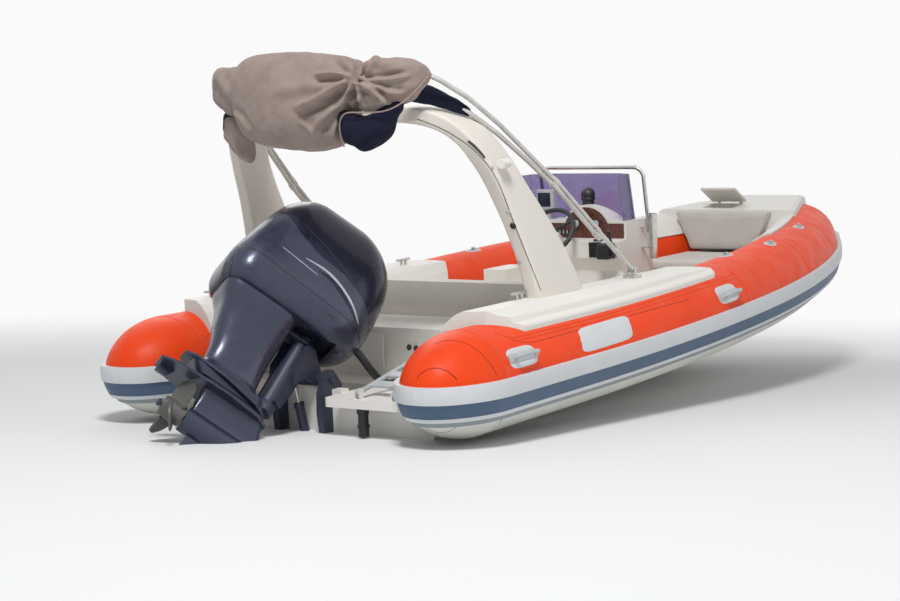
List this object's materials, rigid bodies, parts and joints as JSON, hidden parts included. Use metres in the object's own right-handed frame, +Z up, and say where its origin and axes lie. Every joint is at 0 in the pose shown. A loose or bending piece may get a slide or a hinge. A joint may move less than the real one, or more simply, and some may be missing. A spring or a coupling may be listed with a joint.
{
  "type": "inflatable rib boat",
  "caption": "Rigid-hulled inflatable boat afloat, bow up, with outboard engine tilted and steered, arch, folded canopy, console and benches.",
  "frame": {"origin": "on the centreline at the water's surface, 180 mm forward of the transom's outer face", "axes": "+X starboard, +Y forward to the bow, +Z up from the water"},
  "size_m": [2.4812, 6.8084, 2.2023],
  "materials": {
    "grey_plastic": "satin moulding",
    "dash_brown": "gloss panel",
    "plotter_grey": "satin",
    "collar_orange": "matte coated fabric",
    "collar_grey": "matte coated fabric",
    "strake_white": "matte",
    "strake_blue": "matte",
    "strake_dark": "matte",
    "gelcoat": "gloss gelcoat",
    "cushion_grey": "satin vinyl",
    "arch_white": "gloss gelcoat",
    "stainless": "polished",
    "canopy_taupe": "matte acrylic cloth",
    "wheel_dark": "satin",
    "tinted_acrylic": "tinted",
    "engine_navy": "gloss",
    "engine_blue": "metallic gloss",
    "cast_metal": "cast",
    "prop_bronze": "worn paint",
    "bracket_dark": "satin",
    "lid_grey": "satin"
  },
  "bodies": {
    "boat": {"tube_upper": "collar_orange", "tube_lower": "collar_grey", "strake_lip": "strake_white", "strake_band": "strake_blue", "strake_piping": "strake_white", "strake_foot": "strake_dark", "hull": "gelcoat", "swim_platforms": "gelcoat", "bench_box": "gelcoat", "bench_backrest": "cushion_grey", "bench_cushion": "cushion_grey", "side_deck_starboard": "gelcoat", "side_deck_port": "gelcoat", "arch": "arch_white", "console": "gelcoat", "windscreen_rail": "stainless", "windscreen": "tinted_acrylic", "clamp_bracket": "bracket_dark", "bow_deck": "gelcoat", "bow_backrest": "cushion_grey", "bow_cushion": "cushion_grey", "bow_seat": "gelcoat", "grab_handles": "grey_plastic", "lacing_eyes": "grey_plastic", "air_valves": "grey_plastic", "arch_lamp": "arch_white", "canopy_feet": "stainless", "dash_panel": "dash_brown", "compass": "wheel_dark", "plotter": "plotter_grey", "helm_controls": "wheel_dark", "rod_holder": "stainless", "deck_cleats": "stainless", "filter_canister": "wheel_dark", "rigging_hose": "wheel_dark"},
    "tilt_cylinder": {"tilt_cylinder": "bracket_dark"},
    "tilt_rod": {"tilt_rod": "stainless"},
    "swivel": {"swivel_bracket": "bracket_dark"},
    "engine": {"cowl_cap": "engine_navy", "cowl_side": "engine_blue", "powerhead_block": "cast_metal", "cowl_lower": "engine_blue", "midsection": "engine_blue", "gearcase": "engine_blue"},
    "propeller": {"propeller": "prop_bronze"},
    "steering_wheel": {"steering_wheel": "wheel_dark"},
    "canopy": {"canopy_frame": "stainless", "canopy_boot": "canopy_taupe"},
    "locker_lid": {"locker_lid": "lid_grey"},
    "ladder": {"boarding_ladder": "stainless"},
    "hatch": {"bulkhead_hatch": "gelcoat"}
  },
  "joints": [
    {"name": "engine_tilt", "type": "hinge", "parent": "boat", "child": "swivel", "pos_m": [0, -0.19687, 0.26228], "axis": [-1, 0, 0], "range_deg": [-52, 12], "deforming": ["rigging_hose"]},
    {"name": "engine_steer", "type": "hinge", "parent": "swivel", "child": "engine", "pos_m": [0, -0.12123, 0.54387], "axis": [0, 0.7193, 0.6947], "range_deg": [-2, 76], "deforming": ["rigging_hose"]},
    {"name": "propeller_spin", "type": "hinge", "parent": "engine", "child": "propeller", "pos_m": [-0.22387, -0.952, 0.15462], "axis": [0.6018, 0.5548, -0.5745], "continuous": true},
    {"name": "wheel_turn", "type": "hinge", "parent": "boat", "child": "steering_wheel", "pos_m": [0.02, 2.16343, 0.95825], "axis": [0, -0.8572, 0.515], "range_deg": [-720, 720]},
    {"name": "canopy_hinge", "type": "hinge", "parent": "boat", "child": "canopy", "pos_m": [0.938, 1.49564, 0.77422], "axis": [-1, 0, 0], "range_deg": [0, 70]},
    {"name": "lid_hinge", "type": "hinge", "parent": "boat", "child": "locker_lid", "pos_m": [0, 4.88385, 1.11885], "axis": [-1, 0, 0], "range_deg": [-28, 75]},
    {"name": "ladder_hinge", "type": "hinge", "parent": "boat", "child": "ladder", "pos_m": [0.415, -0.31643, 0.22447], "axis": [1, 0, 0], "range_deg": [0, 180]},
    {"name": "hatch_hinge", "type": "hinge", "parent": "boat", "child": "hatch", "pos_m": [-0.259, 0.43536, 0.31113], "axis": [0, -0.0698, 0.9976], "range_deg": [-95, 0]},
    {"name": "tilt_cylinder_swing", "type": "hinge", "parent": "boat", "child": "tilt_cylinder", "pos_m": [0, -0.19854, -0.02792], "axis": [-1, 0, 0], "range_deg": [-2, 2]},
    {"name": "tilt_rod_slide", "type": "slide", "parent": "tilt_cylinder", "child": "tilt_rod", "axis": [0, -0.329, 0.9443], "range_m": [-0.1, 0.03]}
  ],
  "couplings": [
    {"joint": "tilt_rod_slide", "follows": "engine_tilt", "m_per_rad": 0.098},
    {"joint": "tilt_cylinder_swing", "follows": "engine_tilt", "ratio": -0.02}
  ]
}
